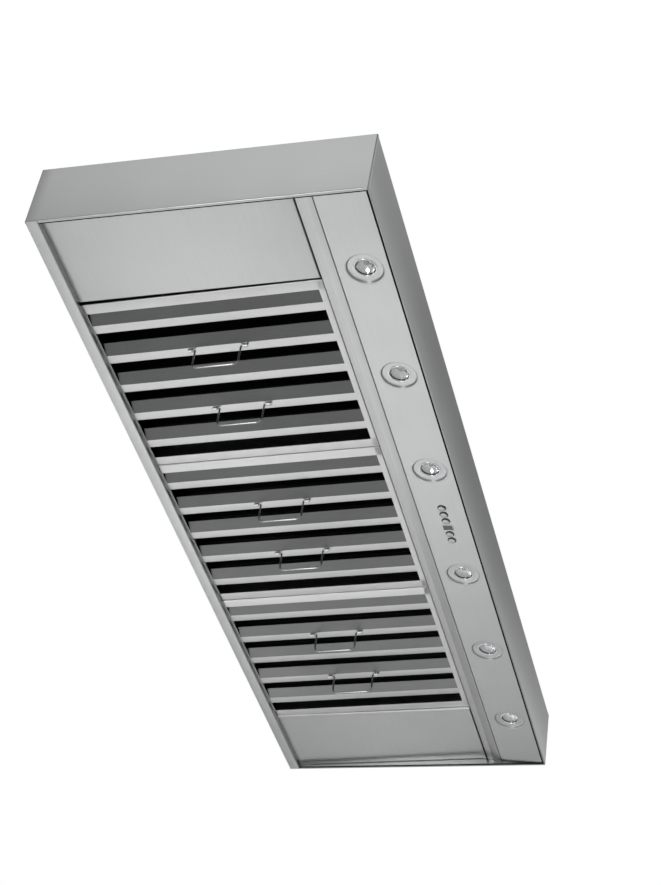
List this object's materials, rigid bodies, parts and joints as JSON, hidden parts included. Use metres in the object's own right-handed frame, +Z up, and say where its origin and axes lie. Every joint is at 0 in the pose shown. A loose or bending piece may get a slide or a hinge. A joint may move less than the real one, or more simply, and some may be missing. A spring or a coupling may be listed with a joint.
{
  "type": "range hood",
  "caption": "Island range hood: a long shallow brushed stainless canopy with baffle filters, lamps and push buttons, hung from the ceiling by a telescoping duct cover.",
  "frame": {"origin": "centre of the ceiling plate's top face, where the hood meets the ceiling", "axes": "+Z up, +X along the canopy to the right end as seen by someone at the buttons, +Y to the rear, away from the lamps and buttons"},
  "size_m": [1.829, 0.635, 0.6737],
  "materials": {
    "brushed": "brushed",
    "filter_steel": "satin",
    "polished_steel": "polished",
    "galvanised": "galvanised",
    "motor_paint": "satin",
    "box_shell": "satin",
    "switch_plastic": "matte",
    "display": "gloss",
    "lens": "clear"
  },
  "bodies": {
    "ceiling_mount": {"ceiling_plate": "galvanised", "upper_frame": "galvanised", "upper_cover_front": "brushed", "upper_cover_rear": "brushed"},
    "canopy": {"canopy_shell": "brushed", "left_end_panel": "brushed", "right_end_panel": "brushed", "light_panel": "brushed", "filter_rail": "brushed", "left_filler_panel": "brushed", "right_filler_panel": "brushed", "lamp_housing_1": "polished_steel", "lamp_housing_2": "polished_steel", "lamp_housing_3": "polished_steel", "lamp_housing_4": "polished_steel", "lamp_housing_5": "polished_steel", "lamp_housing_6": "polished_steel", "lamp_lens_1": "lens", "lamp_lens_2": "lens", "lamp_lens_3": "lens", "lamp_lens_4": "lens", "lamp_lens_5": "lens", "lamp_lens_6": "lens", "display_window": "display", "switch_housing": "switch_plastic", "control_box": "box_shell", "junction_box": "box_shell", "lower_frame": "galvanised", "lower_cover_front": "brushed", "lower_cover_rear": "brushed", "blower_box": "galvanised", "blower_housing_left": "galvanised", "blower_housing_right": "galvanised", "blower_motor_left": "motor_paint", "blower_motor_right": "motor_paint", "duct_collar_left": "galvanised", "duct_collar_right": "galvanised"},
    "filter_1": {"filter_1_frame": "filter_steel", "filter_1_upper_baffles": "filter_steel"},
    "handle_1_a": {"handle_1_a": "polished_steel"},
    "handle_1_b": {"handle_1_b": "polished_steel"},
    "filter_2": {"filter_2_frame": "filter_steel", "filter_2_upper_baffles": "filter_steel"},
    "handle_2_a": {"handle_2_a": "polished_steel"},
    "handle_2_b": {"handle_2_b": "polished_steel"},
    "filter_3": {"filter_3_frame": "filter_steel", "filter_3_upper_baffles": "filter_steel"},
    "handle_3_a": {"handle_3_a": "polished_steel"},
    "handle_3_b": {"handle_3_b": "polished_steel"},
    "button_1": {"button_1": "polished_steel"},
    "button_2": {"button_2": "polished_steel"},
    "button_3": {"button_3": "polished_steel"},
    "button_4": {"button_4": "polished_steel"},
    "button_5": {"button_5": "polished_steel"},
    "impeller_left": {"impeller_left": "galvanised"},
    "damper_left_a": {"damper_flap_left_a": "galvanised"},
    "damper_left_b": {"damper_flap_left_b": "galvanised"},
    "impeller_right": {"impeller_right": "galvanised"},
    "damper_right_a": {"damper_flap_right_a": "galvanised"},
    "damper_right_b": {"damper_flap_right_b": "galvanised"}
  },
  "joints": [
    {"name": "canopy_drop", "type": "slide", "parent": "ceiling_mount", "child": "canopy", "axis": [0, 0, -1], "range_m": [0, 0.38]},
    {"name": "filter_1_swing", "type": "hinge", "parent": "canopy", "child": "filter_1", "pos_m": [-0.4585, 0.292, -0.6285], "axis": [1, 0, 0], "range_deg": [0, 60]},
    {"name": "handle_1_a_swing", "type": "hinge", "parent": "filter_1", "child": "handle_1_a", "pos_m": [-0.546, 0.06608, -0.62467], "axis": [0, 0.9995, -0.0311], "range_deg": [-75, 75]},
    {"name": "handle_1_b_swing", "type": "hinge", "parent": "filter_1", "child": "handle_1_b", "pos_m": [-0.382, 0.06608, -0.62467], "axis": [0, 0.9995, -0.0311], "range_deg": [-75, 75]},
    {"name": "filter_2_swing", "type": "hinge", "parent": "canopy", "child": "filter_2", "pos_m": [0.0035, 0.292, -0.6285], "axis": [1, 0, 0], "range_deg": [0, 60]},
    {"name": "handle_2_a_swing", "type": "hinge", "parent": "filter_2", "child": "handle_2_a", "pos_m": [-0.084, 0.06608, -0.62467], "axis": [0, 0.9995, -0.0311], "range_deg": [-75, 75]},
    {"name": "handle_2_b_swing", "type": "hinge", "parent": "filter_2", "child": "handle_2_b", "pos_m": [0.08, 0.06608, -0.62467], "axis": [0, 0.9995, -0.0311], "range_deg": [-75, 75]},
    {"name": "filter_3_swing", "type": "hinge", "parent": "canopy", "child": "filter_3", "pos_m": [0.4655, 0.292, -0.6285], "axis": [1, 0, 0], "range_deg": [0, 60]},
    {"name": "handle_3_a_swing", "type": "hinge", "parent": "filter_3", "child": "handle_3_a", "pos_m": [0.378, 0.06608, -0.62467], "axis": [0, 0.9995, -0.0311], "range_deg": [-75, 75]},
    {"name": "handle_3_b_swing", "type": "hinge", "parent": "filter_3", "child": "handle_3_b", "pos_m": [0.542, 0.06608, -0.62467], "axis": [0, 0.9995, -0.0311], "range_deg": [-75, 75]},
    {"name": "button_1_press", "type": "slide", "parent": "canopy", "child": "button_1", "axis": [0, -0.0605, 0.9982], "range_m": [0, 0.002], "stiffness_N_per_m": 800},
    {"name": "button_2_press", "type": "slide", "parent": "canopy", "child": "button_2", "axis": [0, -0.0605, 0.9982], "range_m": [0, 0.002], "stiffness_N_per_m": 800},
    {"name": "button_3_press", "type": "slide", "parent": "canopy", "child": "button_3", "axis": [0, -0.0605, 0.9982], "range_m": [0, 0.002], "stiffness_N_per_m": 800},
    {"name": "button_4_press", "type": "slide", "parent": "canopy", "child": "button_4", "axis": [0, -0.0605, 0.9982], "range_m": [0, 0.002], "stiffness_N_per_m": 800},
    {"name": "button_5_press", "type": "slide", "parent": "canopy", "child": "button_5", "axis": [0, -0.0605, 0.9982], "range_m": [0, 0.002], "stiffness_N_per_m": 800},
    {"name": "impeller_left_spin", "type": "hinge", "parent": "canopy", "child": "impeller_left", "pos_m": [-0.0995, 0, -0.3808], "axis": [0, 1, 0], "continuous": true},
    {"name": "damper_left_a_open", "type": "hinge", "parent": "canopy", "child": "damper_left_a", "pos_m": [-0.1655, 0, -0.1747], "axis": [0, 1, 0], "range_deg": [0, 80]},
    {"name": "damper_left_b_open", "type": "hinge", "parent": "canopy", "child": "damper_left_b", "pos_m": [-0.1575, 0, -0.1747], "axis": [0, -1, 0], "range_deg": [0, 80]},
    {"name": "impeller_right_spin", "type": "hinge", "parent": "canopy", "child": "impeller_right", "pos_m": [0.0995, 0, -0.3808], "axis": [0, 1, 0], "continuous": true},
    {"name": "damper_right_a_open", "type": "hinge", "parent": "canopy", "child": "damper_right_a", "pos_m": [0.1575, 0, -0.1747], "axis": [0, 1, 0], "range_deg": [0, 80]},
    {"name": "damper_right_b_open", "type": "hinge", "parent": "canopy", "child": "damper_right_b", "pos_m": [0.1655, 0, -0.1747], "axis": [0, -1, 0], "range_deg": [0, 80]}
  ]
}
